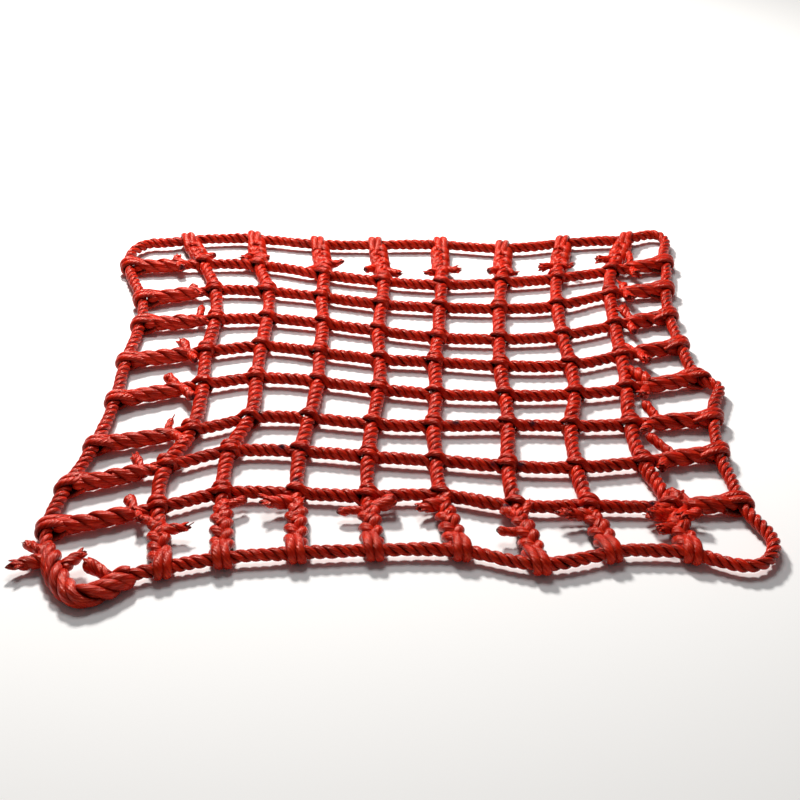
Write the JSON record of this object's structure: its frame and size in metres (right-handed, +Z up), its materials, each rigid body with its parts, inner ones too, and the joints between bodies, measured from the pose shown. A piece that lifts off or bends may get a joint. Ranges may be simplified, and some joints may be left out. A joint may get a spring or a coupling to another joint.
{
  "type": "cargo climbing net",
  "caption": "Square rope climbing net lying flat: rows and columns cross through each other's lay and end in eye splices round a border rope with open corner loops.",
  "frame": {"origin": "centre of the net's footprint, on the ground it lies on", "axes": "+Z up from the ground, +Y towards the far side (row 1), +X towards column 8"},
  "size_m": [1.0102, 1.0665, 0.03],
  "materials": {
    "row_rope": "satin",
    "column_rope": "satin",
    "border_rope": "satin"
  },
  "bodies": {
    "left_half": {"row_rope_1_left": "row_rope", "row_rope_2_left": "row_rope", "row_rope_3_left": "row_rope", "row_rope_4_left": "row_rope", "row_rope_5_left": "row_rope", "row_rope_6_left": "row_rope", "row_rope_7_left": "row_rope", "row_rope_8_left": "row_rope", "column_rope_1": "column_rope", "column_rope_2": "column_rope", "column_rope_3": "column_rope", "column_rope_4": "column_rope", "border_far_left": "border_rope", "border_near_left": "border_rope", "border_left": "border_rope", "fold_bends": "row_rope", "far_left_loop_bends": "border_rope", "near_left_loop_bends": "border_rope"},
    "right_half": {"row_rope_1_right": "row_rope", "row_rope_2_right": "row_rope", "row_rope_3_right": "row_rope", "row_rope_4_right": "row_rope", "row_rope_5_right": "row_rope", "row_rope_6_right": "row_rope", "row_rope_7_right": "row_rope", "row_rope_8_right": "row_rope", "column_rope_5": "column_rope", "column_rope_6": "column_rope", "column_rope_7": "column_rope", "column_rope_8": "column_rope", "border_far_right": "border_rope", "border_near_right": "border_rope", "border_right": "border_rope", "far_right_loop_bends": "border_rope", "near_right_loop_bends": "border_rope"},
    "far_left_loop": {"far_left_loop": "border_rope"},
    "near_left_loop": {"near_left_loop": "border_rope"},
    "far_right_loop": {"far_right_loop": "border_rope"},
    "near_right_loop": {"near_right_loop": "border_rope"}
  },
  "joints": [
    {"name": "middle_fold", "type": "hinge", "parent": "left_half", "child": "right_half", "pos_m": [0.008, 0, 0.015], "axis": [0, -1, 0], "range_deg": [0, 120], "deforming": ["fold_bends"]},
    {"name": "far_right_loop_bend", "type": "hinge", "parent": "right_half", "child": "far_right_loop", "pos_m": [0.46446, 0.46652, 0.015], "axis": [0.5271, -0.8498, 0], "range_deg": [0, 85], "deforming": ["far_right_loop_bends"]},
    {"name": "near_right_loop_bend", "type": "hinge", "parent": "right_half", "child": "near_right_loop", "pos_m": [0.44542, -0.39619, 0.015], "axis": [-0.625, -0.7806, 0], "range_deg": [0, 85], "deforming": ["near_right_loop_bends"]},
    {"name": "near_left_loop_bend", "type": "hinge", "parent": "left_half", "child": "near_left_loop", "pos_m": [-0.4086, -0.44781, 0.015], "axis": [-0.8932, 0.4496, 0], "range_deg": [0, 85], "deforming": ["near_left_loop_bends"]},
    {"name": "far_left_loop_bend", "type": "hinge", "parent": "left_half", "child": "far_left_loop", "pos_m": [-0.45908, 0.46148, 0.015], "axis": [0.6607, 0.7506, 0], "range_deg": [0, 85], "deforming": ["far_left_loop_bends"]}
  ]
}
